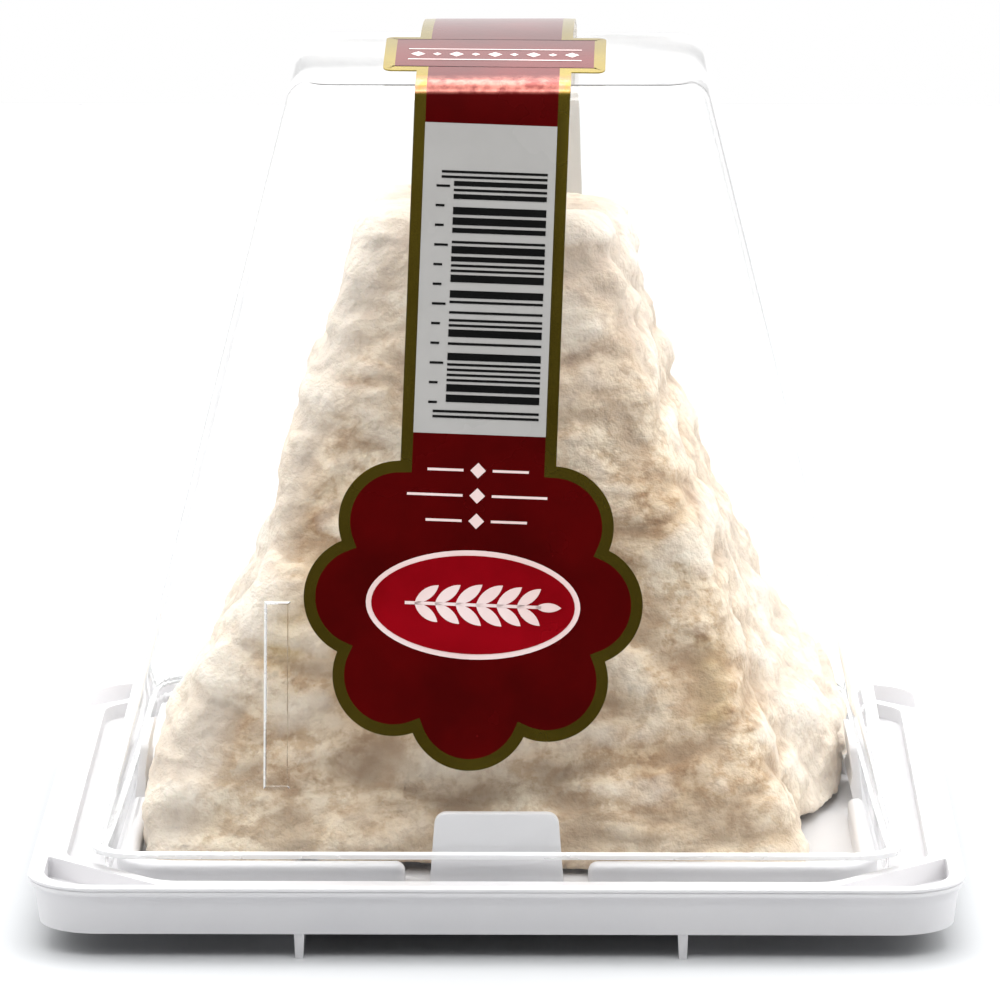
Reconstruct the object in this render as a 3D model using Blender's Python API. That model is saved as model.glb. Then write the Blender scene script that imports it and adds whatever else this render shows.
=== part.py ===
"""A small goat cheese pyramid in its retail pack: moulded tray, clear hood, strap label and cheese.

Lengths in this file are millimetres and become metres where a mesh is made. The pack stands on z = 0
with its label towards -Y. The origin is the middle of the tray, at the bottom of its rails.
"""

import math

import bmesh
import bpy
from mathutils import Matrix, Vector, noise

MM = 0.001
GAP = 0.3  # clearance between pieces that touch

# Tray
TRAY_HALF = 48.0
TRAY_CORNER = 7.0
TRAY_TOP = 7.6
SKIRT_BOTTOM = 2.6
SKIRT_HALF = 47.4
SKIRT_DRAFT = 0.5
SKIRT_WALL = 1.1
PLATE_UNDERSIDE = 5.0
FLOOR = 6.0
RIM_ROUND = 0.3
RIM_THICKNESS = 0.85
RECESS_HALF = 44.6
RECESS_CHORD = 78.8  # x + y of the straight wall across each of the recess's corners
RECESS_ROUND = 2.0
RAIL_SPACING = 39.1
RAIL_SHIFT = -0.5  # the pair stands a little to the left of the middle
RAIL_TOP_WIDTH = 1.3
RAIL_BOTTOM_WIDTH = 0.8
POCKET_HALF = 46.4
POCKET_CORNER = 5.6
POCKET_CHORD = 80.8
POCKET_BLUNT = 0.7

# Locating ridges and centring tabs that stand on the tray's floor
RIDGE_LINE = 38.3
RIDGE_CORNER = 5.0
RIDGE_WIDTH = 2.2
RIDGE_TOP = 8.1
RIDGE_GAP = 18.8
TAB_FACE = 39.4
TAB_LEAN = 0.05
TAB_THICKNESS = 1.2
TAB_BASE_WIDTH = 13.8
TAB_TOP_WIDTH = 12.6
TAB_TOP = 13.3
TAB_ROUND = 1.1

# Clear hood
HOOD_WALL = 0.5
HOOD_BASE_HALF = 40.9  # the sloping wall where it meets the lip
HOOD_LIP_HALF = 41.7
HOOD_LIP_BOTTOM = 9.1
HOOD_LIP_TOP = 9.9
HOOD_BAND_HALF = 40.4
HOOD_TOP = 86.0
HOOD_TOP_HALF = 21.5  # where the sloping wall would meet the top if the edge were sharp
HOOD_EDGE_ROUND = 2.3
HOOD_EDGE_STEPS = 4
HOOD_BASE_CORNER = 5.0
HOOD_TOP_CORNER = 3.2

# Cheese
CHEESE_TOP = 70.4
CHEESE_BASE_HALF = 36.0
CHEESE_TOP_HALF = 12.3
CHEESE_TOP_ROUND = 3.2
CHEESE_CORNER = 4.0
CHEESE_TUCK = 0.9  # how far the bottom edge draws in under the slumped foot
CHEESE_TUCK_HEIGHT = 3.0
CHEESE_TURN = math.radians(-3.5)
CHEESE_BASE_SHIFT = Vector((-1.6, -0.2))
CHEESE_TOP_SHIFT = Vector((-1.1, 0.0))
CHEESE_FOOT_LIMIT = 36.8  # inside the ridges
CHEESE_TAB_LIMIT = 37.3  # inside the tabs
SLUMP_REACH = 5.6  # the cheese has sagged out over its right side, low down and towards the back
SLUMP_HEIGHT = 7.0
SLUMP_SPREAD = 12.5
SLUMP_START = -14.0
WAIST_DEPTH = 2.6  # its left side is drawn in at mid height
WAIST_HEIGHT = 35.0
WAIST_SPREAD = 9.5
CHEESE_LEVELS = 31
CHEESE_ROUNDING_LEVELS = 4
CHEESE_TOP_RINGS = 4
CHEESE_SIDE_STEPS = 17

# Strap label
LABEL_THICKNESS = 0.3
LABEL_LEAN = math.radians(2.05)
LABEL_SHIFT = -0.5
STRAP_WIDTH = 15.8
ROSETTE_RADIUS = 17.4
ROSETTE_LOBE = 6.25
ROSETTE_LOBES = 8
ROSETTE_DROP = 52.0  # down the front wall, from the fold to the middle of the rosette
FRONT_REACH = 76.0
FOLD_HEIGHT = 85.1
FOLD_CLEARANCE = 0.35
FOLD_RADIUS = 1.9
FOLD_STEPS = 5
BOW_ANGLE = math.radians(15.6)  # slope at which the label leaves the fold to bow over the hood
BOW_STEPS = 12
WING_WIDTH = 23.0
WING_START = 4.4
WING_LENGTH = 11.6
WING_ROUND = 0.9
BACK_LENGTH = 38.0

CORNER_STEPS = 6
LOBE_STEPS = 8
END_STEPS = 10

RIND_COLOUR = (0.69, 0.55, 0.40)
LABEL_COLOUR = (0.16, 0.004, 0.008)
TRAY_COLOUR = (0.80, 0.81, 0.84)
HOOD_COLOUR = (0.95, 0.96, 0.96)


def clear_scene():
    for thing in list(bpy.data.objects):
        bpy.data.objects.remove(thing)


def principled(name, colour, roughness, alpha=1.0):
    material = bpy.data.materials.new(name)
    material.use_nodes = True
    shader = material.node_tree.nodes["Principled BSDF"]
    shader.inputs["Base Color"].default_value = (*colour, 1.0)
    shader.inputs["Roughness"].default_value = roughness
    shader.inputs["Metallic"].default_value = 0.0
    shader.inputs["Alpha"].default_value = alpha
    return material


def add_object(name, bm, material):
    """Turns a bmesh in millimetres into a named object in metres."""
    bmesh.ops.scale(bm, vec=(MM, MM, MM), verts=bm.verts)
    bmesh.ops.recalc_face_normals(bm, faces=bm.faces)
    mesh = bpy.data.meshes.new(name)
    bm.to_mesh(mesh)
    bm.free()
    mesh.materials.append(material)
    thing = bpy.data.objects.new(name, mesh)
    bpy.context.scene.collection.objects.link(thing)
    return thing


def rounded_square(half, corner, steps=CORNER_STEPS):
    """Outline of a square with round corners, anticlockwise, as (x, y) points."""
    points = []
    centre = half - corner
    for quarter in range(4):
        middle = Vector((centre, centre)) @ Matrix.Rotation(-quarter * math.pi / 2, 2)
        for step in range(steps + 1):
            angle = (quarter + step / steps) * math.pi / 2
            points.append((middle.x + corner * math.cos(angle), middle.y + corner * math.sin(angle)))
    return points


def loft(bm, rings):
    """Joins rings of 3-D points, all of one length, and caps both ends."""
    loops = [[bm.verts.new(point) for point in ring] for ring in rings]
    count = len(loops[0])
    for lower, upper in zip(loops, loops[1:]):
        for i in range(count):
            j = (i + 1) % count
            bm.faces.new((lower[i], lower[j], upper[j], upper[i]))
    bm.faces.new(reversed(loops[0]))
    bm.faces.new(loops[-1])
    return bm


def chamfered_square(half, chord, bend):
    """Outline of a square with straight 45 degree corners, their ends rounded, with rounded_square's count."""
    points = []
    eighth = math.pi / 4
    inset = bend * math.tan(eighth / 2)
    for quarter in range(4):
        turn = Matrix.Rotation(quarter * math.pi / 2, 2)
        first = Vector((half - bend, chord - half - inset))
        second = Vector((first.y, first.x))
        for step in range(3):
            angle = eighth * step / 2
            points.append(turn @ (first + bend * Vector((math.cos(angle), math.sin(angle)))))
        for step in range(CORNER_STEPS - 2):
            angle = eighth + eighth * step / (CORNER_STEPS - 3)
            points.append(turn @ (second + bend * Vector((math.cos(angle), math.sin(angle)))))
    return [(point.x, point.y) for point in points]


def square_rings(profile):
    """Rings of a rounded square for each (half width, height, corner radius)."""
    return [[(x, y, z) for x, y in rounded_square(half, corner)] for half, z, corner in profile]


def tray_body():
    """The plate, rim and skirt, as one profile carried round the tray from its underside to its floor."""
    inner = SKIRT_HALF - SKIRT_WALL
    rim_low = TRAY_TOP - RIM_THICKNESS
    rings = square_rings([
        (inner, PLATE_UNDERSIDE, TRAY_CORNER - 1.7),
        (inner - SKIRT_DRAFT, SKIRT_BOTTOM, TRAY_CORNER - 2.2),
        (SKIRT_HALF - SKIRT_DRAFT, SKIRT_BOTTOM, TRAY_CORNER - 1.1),
        (SKIRT_HALF, rim_low - 0.15, TRAY_CORNER - 0.6),
        (TRAY_HALF, rim_low, TRAY_CORNER),
        (TRAY_HALF, TRAY_TOP - RIM_ROUND, TRAY_CORNER),
        (TRAY_HALF - RIM_ROUND, TRAY_TOP, TRAY_CORNER - RIM_ROUND),
    ])
    recess = [(RIM_ROUND, TRAY_TOP), (0.0, TRAY_TOP - RIM_ROUND), (-0.15, FLOOR)]
    for spread, z in recess:
        outline = chamfered_square(RECESS_HALF + spread, RECESS_CHORD + 1.4 * spread, RECESS_ROUND)
        rings.append([(x, y, z) for x, y in outline])
    return loft(bmesh.new(), rings)


def half_round(centre, forward, radius, steps):
    """Points between the two ends of a half circle that bulges forward, anticlockwise."""
    right = Vector((forward.y, -forward.x))
    angles = [math.pi * step / steps for step in range(1, steps)]
    return [centre + right * radius * math.cos(a) + forward * radius * math.sin(a) for a in angles]


def bar_outline(path, half_width, end_steps=4):
    """Outline of a bar of constant width with half-round ends that follows an (x, y) path."""
    points = [Vector(p) for p in path]
    last = len(points) - 1
    directions = [(points[min(i + 1, last)] - points[max(i - 1, 0)]).normalized() for i in range(last + 1)]
    sides = [Vector((-d.y, d.x)) * half_width for d in directions]
    outline = [p - side for p, side in zip(points, sides)]
    outline += half_round(points[-1], directions[-1], half_width, end_steps)
    outline += [p + side for p, side in zip(reversed(points), reversed(sides))]
    outline += half_round(points[0], -directions[0], half_width, end_steps)
    return outline


def ridge_path():
    """Middle line of the ridge that turns the corner at +X +Y, from one mid-side gap to the next."""
    start = RIDGE_GAP / 2 + RIDGE_WIDTH / 2
    centre = RIDGE_LINE - RIDGE_CORNER
    angles = [math.pi / 2 * step / CORNER_STEPS for step in range(CORNER_STEPS + 1)]
    arc = [(centre + RIDGE_CORNER * math.cos(a), centre + RIDGE_CORNER * math.sin(a)) for a in angles]
    return [(RIDGE_LINE, start), *arc, (start, RIDGE_LINE)]


def ridge():
    """A low domed ridge that turns the corner, rooted a little way into the floor."""
    half = RIDGE_WIDTH / 2
    dome = [(half, FLOOR - 0.4), (half, RIDGE_TOP - 0.8), (half * 0.75, RIDGE_TOP - 0.25), (half * 0.35, RIDGE_TOP)]
    rings = [[(p.x, p.y, z) for p in bar_outline(ridge_path(), width)] for width, z in dome]
    return loft(bmesh.new(), rings)


def tab_outline():
    """Front outline of a centring tab as (x, z) points, with round top corners."""
    base, top = TAB_BASE_WIDTH / 2, TAB_TOP_WIDTH / 2
    points = [(-base, FLOOR - 0.4), (base, FLOOR - 0.4)]
    steps = 4
    for side in (1, -1):
        for step in range(steps + 1):
            turn = step if side > 0 else steps - step
            angle = math.pi / 2 * turn / steps
            x = side * (top - TAB_ROUND + TAB_ROUND * math.cos(angle))
            points.append((x, TAB_TOP - TAB_ROUND + TAB_ROUND * math.sin(angle)))
    return points


def tab():
    """A centring tab in the middle of the -Y side, leaning in a little."""
    rings = []
    for depth in (0.0, TAB_THICKNESS):
        rings.append([(x, -TAB_FACE + depth + (z - FLOOR) * TAB_LEAN, z) for x, z in tab_outline()])
    return loft(bmesh.new(), rings)


def rail(side):
    """One of the two rails under the tray, running front to back with draft on its sides."""
    reach = SKIRT_HALF - SKIRT_DRAFT - 0.1
    middle = RAIL_SHIFT + side * RAIL_SPACING / 2
    low, high = RAIL_BOTTOM_WIDTH / 2, RAIL_TOP_WIDTH / 2
    root = PLATE_UNDERSIDE + 0.4
    rings = []
    for y in (-reach, reach):
        rings.append([
            (middle - low, y, 0.0),
            (middle + low, y, 0.0),
            (middle + high, y, root),
            (middle - high, y, root),
        ])
    return loft(bmesh.new(), rings)


def pocket():
    """Cutter for the shallow pocket in the corner at +X +Y: an arc outside, a straight wall inside."""
    centre = POCKET_HALF - POCKET_CORNER
    reach = POCKET_CHORD - POCKET_HALF
    blunt = POCKET_BLUNT
    outline = [(POCKET_HALF - blunt, reach + blunt), (POCKET_HALF, reach + blunt * 2)]
    for step in range(CORNER_STEPS + 1):
        angle = math.pi / 2 * step / CORNER_STEPS
        outline.append((centre + POCKET_CORNER * math.cos(angle), centre + POCKET_CORNER * math.sin(angle)))
    outline += [(reach + blunt * 2, POCKET_HALF), (reach + blunt, POCKET_HALF - blunt)]
    rings = [[(x, y, z) for x, y in outline] for z in (FLOOR + 0.2, TRAY_TOP + 1.0)]
    return loft(bmesh.new(), rings)


def turned(make, quarter):
    """A piece made for one side or corner, turned by quarter turns about the vertical axis."""
    bm = make()
    bmesh.ops.rotate(bm, verts=bm.verts, matrix=Matrix.Rotation(quarter * math.pi / 2, 3, "Z"))
    return bm


def apply_boolean(target, pieces, operation):
    """Joins pieces to target or cuts them from it, then removes them."""
    group = bpy.data.collections.new(target.name + "_" + operation.lower())
    bpy.context.scene.collection.children.link(group)
    for piece in pieces:
        bpy.context.scene.collection.objects.unlink(piece)
        group.objects.link(piece)
    modifier = target.modifiers.new(operation.title(), "BOOLEAN")
    modifier.operation = operation
    modifier.operand_type = "COLLECTION"
    modifier.collection = group
    modifier.solver = "EXACT"
    bpy.context.view_layer.update()
    evaluated = target.evaluated_get(bpy.context.evaluated_depsgraph_get())
    mesh = bpy.data.meshes.new_from_object(evaluated)
    target.modifiers.clear()
    target.data = mesh
    for piece in pieces:
        bpy.data.objects.remove(piece)
    bpy.data.collections.remove(group)


def build_tray():
    material = principled("white_moulded_plastic", TRAY_COLOUR, 0.4)
    tray = add_object("tray", tray_body(), material)
    joined = []
    for quarter in range(4):
        joined.append(add_object(f"ridge_{quarter}", turned(ridge, quarter), material))
        joined.append(add_object(f"tab_{quarter}", turned(tab, quarter), material))
    for side in (-1, 1):
        joined.append(add_object(f"rail_{side}", rail(side), material))
    apply_boolean(tray, joined, "UNION")
    cutters = [add_object(f"pocket_{quarter}", turned(pocket, quarter), material) for quarter in range(4)]
    apply_boolean(tray, cutters, "DIFFERENCE")


def hood_slope():
    """How much the hood's wall leans in for each millimetre of height."""
    return (HOOD_BASE_HALF - HOOD_TOP_HALF) / (HOOD_TOP - HOOD_LIP_TOP)


def hood_half(z):
    """Outer half width of the sloping wall at a height."""
    return HOOD_BASE_HALF - (z - HOOD_LIP_TOP) * hood_slope()


def hood_edge(wall):
    """Profile of the rounded edge between wall and top, moved in by a wall thickness, from below."""
    lean = math.atan(hood_slope())
    radius = HOOD_EDGE_ROUND
    centre_z = HOOD_TOP - radius
    centre = hood_half(centre_z) - radius / math.cos(lean)
    profile = []
    for step in range(HOOD_EDGE_STEPS + 1):
        angle = lean + (math.pi / 2 - lean) * step / HOOD_EDGE_STEPS
        out = (radius - wall) * math.cos(angle)
        corner = HOOD_TOP_CORNER - wall - (radius - wall) * 0.7 * step / HOOD_EDGE_STEPS
        profile.append((centre + out, centre_z + (radius - wall) * math.sin(angle), corner))
    return profile


def hood_outside():
    """Outer profile of the hood, from its bottom edge over the band, lip, wall and rounded edge."""
    bead = 0.2
    return [
        (HOOD_BAND_HALF, FLOOR + GAP, HOOD_BASE_CORNER),
        (HOOD_BAND_HALF, HOOD_LIP_BOTTOM, HOOD_BASE_CORNER),
        (HOOD_LIP_HALF - bead, HOOD_LIP_BOTTOM, HOOD_BASE_CORNER + 1.2),
        (HOOD_LIP_HALF, HOOD_LIP_BOTTOM + bead, HOOD_BASE_CORNER + 1.4),
        (HOOD_LIP_HALF, HOOD_LIP_TOP - bead, HOOD_BASE_CORNER + 1.4),
        (HOOD_BASE_HALF + bead, HOOD_LIP_TOP, HOOD_BASE_CORNER + 1.0),
        (HOOD_BASE_HALF - 0.35, HOOD_LIP_TOP + 1.2, HOOD_BASE_CORNER),
    ] + hood_edge(0.0)


def hood_inside():
    """Inner profile, one wall thickness inside the outer one, from top to bottom."""
    wall = HOOD_WALL
    inner_base = HOOD_BASE_HALF - 0.35 - wall
    return list(reversed(hood_edge(wall))) + [
        (inner_base, HOOD_LIP_TOP + 1.2, HOOD_BASE_CORNER - wall),
        (HOOD_BAND_HALF - wall, HOOD_LIP_TOP - 0.3, HOOD_BASE_CORNER - wall),
        (HOOD_BAND_HALF - wall, FLOOR + GAP, HOOD_BASE_CORNER - wall),
    ]


def build_hood():
    """The hood is one skin: outer profile up, inner profile down, and a flat bottom edge."""
    bm = bmesh.new()
    outer = [[bm.verts.new(p) for p in ring] for ring in square_rings(hood_outside())]
    inner = [[bm.verts.new(p) for p in ring] for ring in square_rings(hood_inside())]
    count = len(outer[0])
    for loops in (outer, inner, [inner[-1], outer[0]]):
        for lower, upper in zip(loops, loops[1:]):
            for i in range(count):
                j = (i + 1) % count
                bm.faces.new((lower[i], lower[j], upper[j], upper[i]))
    bm.faces.new(outer[-1])
    bm.faces.new(reversed(inner[0]))
    add_object("hood", bm, principled("clear_plastic", HOOD_COLOUR, 0.08, alpha=0.25))


def square_at(share, half, corner):
    """Point of a rounded square's outline at a share of the way round, from the middle of the +X side."""
    side = 4 * share
    quarter = math.floor(side + 0.5)
    flat = half - corner
    reach = (side - quarter) * 2 * (flat + corner * math.pi / 4)
    if abs(reach) <= flat:
        point = Vector((half, reach))
    else:
        angle = (abs(reach) - flat) / corner
        point = Vector((flat + corner * math.cos(angle), flat + corner * math.sin(angle)))
        point.y = math.copysign(point.y, reach)
    return Matrix.Rotation(quarter * math.pi / 2, 2) @ point


def rind_relief(point):
    """Swelling of the rind at a point: broad slumped lumps, smaller lumps, then wrinkles."""
    broad = noise.noise(point * 0.055 + Vector((3.1, 7.7, 1.9)))
    lumps = noise.noise(Vector((point.x * 0.16, point.y * 0.16, point.z * 0.24)) + Vector((11.0, 2.0, 5.0)))
    wrinkles = noise.noise(Vector((point.x * 0.36, point.y * 0.36, point.z * 0.55)) + Vector((0.5, 9.0, 4.0)))
    return 1.3 * broad + 1.0 * lumps + 0.5 * wrinkles


def cheese_half(z):
    """Half width of the cheese: a straight taper, drawn in at the bottom edge."""
    height = (z - FLOOR) / (CHEESE_TOP - FLOOR)
    tuck = CHEESE_TUCK * max(0.0, 1.0 - (z - FLOOR) / CHEESE_TUCK_HEIGHT) ** 2
    return CHEESE_BASE_HALF + (CHEESE_TOP_HALF - CHEESE_BASE_HALF) * height - tuck


def cheese_limit(z, beside):
    """How far the cheese may reach towards a side, at a height and a distance beside the side's middle."""
    if z < RIDGE_TOP + GAP:
        return CHEESE_FOOT_LIMIT
    if z < TAB_TOP + GAP and abs(beside) < TAB_BASE_WIDTH / 2 + 1.0:
        return CHEESE_TAB_LIMIT
    return hood_half(z) - HOOD_WALL - 0.8


def sag(flat, z):
    """How far the right side has sagged outwards at a point, most towards the back and low down."""
    if flat.x <= 0.0:
        return 0.0
    low = math.exp(-(((z - SLUMP_HEIGHT) / SLUMP_SPREAD) ** 4))
    back = min(max((flat.y - SLUMP_START) / 20.0, 0.0), 1.0)
    side = min(max((flat.x - abs(flat.y) + 4.0) / 6.0, 0.0), 1.0)
    return SLUMP_REACH * low * back * back * (3.0 - 2.0 * back) * side


def waist(flat, z):
    """How far the left side is drawn in at a point, most at mid height."""
    level = math.exp(-(((z - WAIST_HEIGHT) / WAIST_SPREAD) ** 2))
    return WAIST_DEPTH * level * min(max(-flat.x / 8.0, 0.0), 1.0)


def cheese_ring(half, z, corner):
    """One level of the cheese: a rounded square, roughened by the relief, then turned on the tray."""
    ring = []
    count = 4 * CHEESE_SIDE_STEPS
    height = (z - FLOOR) / (CHEESE_TOP - FLOOR)
    shift = CHEESE_BASE_SHIFT.lerp(CHEESE_TOP_SHIFT, height)
    settle = min(1.0, (z - FLOOR - GAP) / 3.0)
    for i in range(count):
        flat = square_at(i / count, half, corner)
        swelling = rind_relief(Vector((flat.x, flat.y, z)))
        out = sag(flat, z) + waist(flat, z)
        flat += flat.normalized() * swelling * (0.35 + 0.65 * settle)
        flat.x += out
        place = Matrix.Rotation(CHEESE_TURN, 2) @ flat + shift
        limit_x = cheese_limit(z, place.y)
        limit_y = cheese_limit(z, place.x)
        x = min(max(place.x, -limit_x), limit_x)
        y = min(max(place.y, -limit_y), limit_y)
        lift = 0.3 * swelling if z > CHEESE_TOP - CHEESE_TOP_ROUND else 0.0
        ring.append((x, y, z + lift))
    return ring


def build_cheese():
    bottom = FLOOR + GAP
    round_start = CHEESE_TOP - CHEESE_TOP_ROUND
    rings = []
    for level in range(CHEESE_LEVELS):
        z = bottom + (round_start - bottom) * level / (CHEESE_LEVELS - 1)
        rings.append(cheese_ring(cheese_half(z), z, CHEESE_CORNER))
    edge = cheese_half(round_start)
    for level in range(1, CHEESE_ROUNDING_LEVELS + 1):
        angle = math.pi / 2 * level / CHEESE_ROUNDING_LEVELS
        half = edge - CHEESE_TOP_ROUND * (1.0 - math.cos(angle))
        z = round_start + CHEESE_TOP_ROUND * math.sin(angle)
        rings.append(cheese_ring(half, z, min(CHEESE_CORNER, half * 0.45)))
    inner = edge - CHEESE_TOP_ROUND
    for level in range(1, CHEESE_TOP_RINGS):
        half = inner * (1.0 - level / CHEESE_TOP_RINGS)
        rings.append(cheese_ring(half, CHEESE_TOP, half * 0.45))
    add_object("cheese", loft(bmesh.new(), rings), principled("rind", RIND_COLOUR, 0.8))


def label_path():
    """The label's underside from front to back, as (length, y, z) with length 0 at the front fold.

    It lies on the front wall, bends above the rounded edge, bows over the top and comes down the back.
    """
    lean = math.atan(hood_slope())
    up_wall = math.pi / 2 - lean
    clearance = FOLD_CLEARANCE / math.cos(lean)
    fold = Vector((-hood_half(FOLD_HEIGHT) - clearance, FOLD_HEIGHT))
    turns = [(FOLD_RADIUS * (up_wall - BOW_ANGLE), up_wall, BOW_ANGLE, FOLD_STEPS)]
    bend_end = FOLD_RADIUS * (math.sin(up_wall) - math.sin(BOW_ANGLE))
    bow_radius = -(fold.x + bend_end) / math.sin(BOW_ANGLE)
    turns.append((2 * BOW_ANGLE * bow_radius, BOW_ANGLE, -BOW_ANGLE, BOW_STEPS))
    turns.append((turns[0][0], -BOW_ANGLE, -up_wall, FOLD_STEPS))
    point = fold - FRONT_REACH * Vector((math.cos(up_wall), math.sin(up_wall)))
    length = -FRONT_REACH
    path = [(length, point.x, point.y), (0.0, fold.x, fold.y)]
    point = fold.copy()
    length = 0.0
    for total, start, end, steps in turns:
        for step in range(steps):
            angle = start + (end - start) * (step + 0.5) / steps
            point = point + total / steps * Vector((math.cos(angle), math.sin(angle)))
            length += total / steps
            path.append((length, point.x, point.y))
    point = point + FRONT_REACH * Vector((math.cos(up_wall), -math.sin(up_wall)))
    path.append((length + FRONT_REACH, point.x, point.y))
    return path


def path_normal(path, index):
    """Outward normal of the label's line at one of its points, in (y, z)."""
    before = path[max(index - 1, 0)]
    after = path[min(index + 1, len(path) - 1)]
    along = Vector((after[1] - before[1], after[2] - before[2])).normalized()
    return Vector((-along.y, along.x))


def label_place(path, across, along, height):
    """Where a point of the flat label lands: across the strap, along it, and off its underside."""
    index = 1
    while index < len(path) - 1 and path[index][0] < along:
        index += 1
    before, after = path[index - 1], path[index]
    share = (along - before[0]) / (after[0] - before[0])
    place = Vector(before[1:]).lerp(Vector(after[1:]), share)
    normal = path_normal(path, index - 1).lerp(path_normal(path, index), min(max(share, 0.0), 1.0))
    place += normal.normalized() * height
    return Vector((across, place.x, place.y))


def lobe_sweep(hub, spread):
    """Half the angle that one lobe's arc turns through, out to the notch it shares with the next."""
    notch = hub * math.cos(spread) + math.sqrt(ROSETTE_LOBE ** 2 - (hub * math.sin(spread)) ** 2)
    return math.atan2(notch * math.sin(spread), notch * math.cos(spread) - hub)


def rosette_outline():
    """Scalloped edge, clockwise from the strap's +X side to its -X side; the top lobe is the strap's."""
    spread = math.pi / ROSETTE_LOBES
    hub = ROSETTE_RADIUS - ROSETTE_LOBE
    sweep = lobe_sweep(hub, spread)
    centre = Vector((0.0, -ROSETTE_DROP))
    points = []
    for lobe in range(1, ROSETTE_LOBES):
        aim = math.pi / 2 - 2 * spread * lobe
        middle = centre + hub * Vector((math.cos(aim), math.sin(aim)))
        for step in range(LOBE_STEPS + (lobe == ROSETTE_LOBES - 1)):
            angle = aim + sweep * (1.0 - 2.0 * step / LOBE_STEPS)
            points.append(middle + ROSETTE_LOBE * Vector((math.cos(angle), math.sin(angle))))
    return [p for p in points if abs(p.x) > STRAP_WIDTH / 2 + 0.2 or p.y < centre.y]


def label_outline(back_fold):
    """Flat outline of the label, anticlockwise, leaning as the real one was stuck on."""
    half = STRAP_WIDTH / 2
    wing = WING_WIDTH / 2
    neck = rosette_outline()[0].y + 0.4
    wing_end = WING_START + WING_LENGTH
    right = [
        Vector((half, neck)),
        Vector((half, WING_START)),
        Vector((wing - WING_ROUND, WING_START)),
        Vector((wing, WING_START + WING_ROUND)),
        Vector((wing, wing_end - WING_ROUND)),
        Vector((wing - WING_ROUND, wing_end)),
        Vector((half, wing_end)),
    ]
    end = Vector((0.0, back_fold + BACK_LENGTH - half))
    cap = [Vector((half, end.y))] + half_round(end, Vector((0.0, 1.0)), half, END_STEPS) + [Vector((-half, end.y))]
    left = [Vector((-p.x, p.y)) for p in reversed(right)]
    flat = right + cap + left + list(reversed(rosette_outline()))
    turn = Matrix.Rotation(-LABEL_LEAN, 2)
    return [turn @ p + Vector((LABEL_SHIFT, 0.0)) for p in flat]


def build_label():
    """The flat label is cut across at every bend, then each cut is laid on the label's path."""
    path = label_path()
    outline = label_outline(path[-2][0])
    bm = bmesh.new()
    bm.faces.new([bm.verts.new((p.x, p.y, 0.0)) for p in outline])
    for along, _, _ in path[1:-1]:
        everything = bm.verts[:] + bm.edges[:] + bm.faces[:]
        bmesh.ops.bisect_plane(bm, geom=everything, dist=1e-5, plane_co=(0.0, along, 0.0), plane_no=(0.0, 1.0, 0.0))
    bmesh.ops.triangulate(bm, faces=bm.faces)
    lower = bm.verts[:]
    extruded = bmesh.ops.extrude_face_region(bm, geom=bm.faces[:], use_keep_orig=True)
    upper = [item for item in extruded["geom"] if isinstance(item, bmesh.types.BMVert)]
    for vert in lower:
        vert.co = label_place(path, vert.co.x, vert.co.y, 0.0)
    for vert in upper:
        vert.co = label_place(path, vert.co.x, vert.co.y, LABEL_THICKNESS)
    add_object("label", bm, principled("label_paper", LABEL_COLOUR, 0.35))


clear_scene()
build_tray()
build_hood()
build_cheese()
build_label()
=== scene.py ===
"""Looks of a goat cheese pyramid in its pack: rinded cheese, moulded tray, clear hood and strap label.

Sizes are written in millimetres and turned to metres where a piece is placed. The pack stands on z = 0
with the label's rosette towards -Y.
"""

import math
import random

import bmesh
import bpy
from mathutils import Matrix, Vector


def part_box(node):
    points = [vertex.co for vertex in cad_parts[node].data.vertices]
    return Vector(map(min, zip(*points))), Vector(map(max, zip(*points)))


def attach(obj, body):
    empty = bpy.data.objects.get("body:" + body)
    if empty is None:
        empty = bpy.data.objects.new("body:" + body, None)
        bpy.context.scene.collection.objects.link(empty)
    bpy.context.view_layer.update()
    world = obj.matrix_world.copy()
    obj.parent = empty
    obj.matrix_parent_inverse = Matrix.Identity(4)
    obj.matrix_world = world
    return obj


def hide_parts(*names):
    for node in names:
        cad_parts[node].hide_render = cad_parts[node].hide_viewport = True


MM = 0.001
HIDDEN_OVERLAP = 0.4  # how far a joined piece is rooted in what carries it

# Camera
CAMERA_DISTANCE = 803.0
CAMERA_RISE = math.radians(11.383)
CAMERA_SWING = math.radians(0.51)
CAMERA_AIM_HEIGHT = 38.3
MM_PER_PIXEL = 0.107
IMAGE_WIDTH = 1000
SENSOR_WIDTH = 36.0

# Room and lamps
FLOOR_SIZE = 1100.0
LAMP_AIM = (0.0, 0.0, 40.0)
DARK_BEHIND_CAMERA = 0.012
DARK_ZONE = (-0.82, -0.48)
ROOM_TONE = 0.82
SKY_ZONE = (0.3, 0.8)
SKY_LIFT = 2.4
GLOSS_LIFT = 0.35

# Tray
TRAY_HALF = 48.0
TRAY_CORNER = 7.0
TRAY_TOP = 7.6
SKIRT_BOTTOM = 2.6
SKIRT_INSET = 0.6
SKIRT_DRAFT = 0.5
SKIRT_WALL = 1.1
PLATE_UNDERSIDE = 5.0
FLOOR_TOP = 6.0
RIM_THICKNESS = 0.85
RIM_PLATE = 0.28
RIM_GROOVE = 0.16
RIM_GROOVE_HEIGHT = 0.1
LOWER_RIM_TOP_INSET = 0.08
LOWER_RIM_STEP = 0.02
LOWER_RIM_INSET = 0.1
HOLLOW_DRAFT = 0.25
TRAY_EDGE_ROUND = 0.06
RECESS_HALF = 44.6
RECESS_CHORD = 78.8
RECESS_ROUND = 1.6
CUTTER_TOP = 12.0
POCKET_FLOOR = 5.5
POCKET_HALF = 46.4
POCKET_CORNER = 5.6
POCKET_CHORD = 80.8
POCKET_BLUNT = 0.6
RAIL_SPACING = 39.1
RAIL_SHIFT = -0.5
RAIL_SETBACK = 0.15
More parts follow.
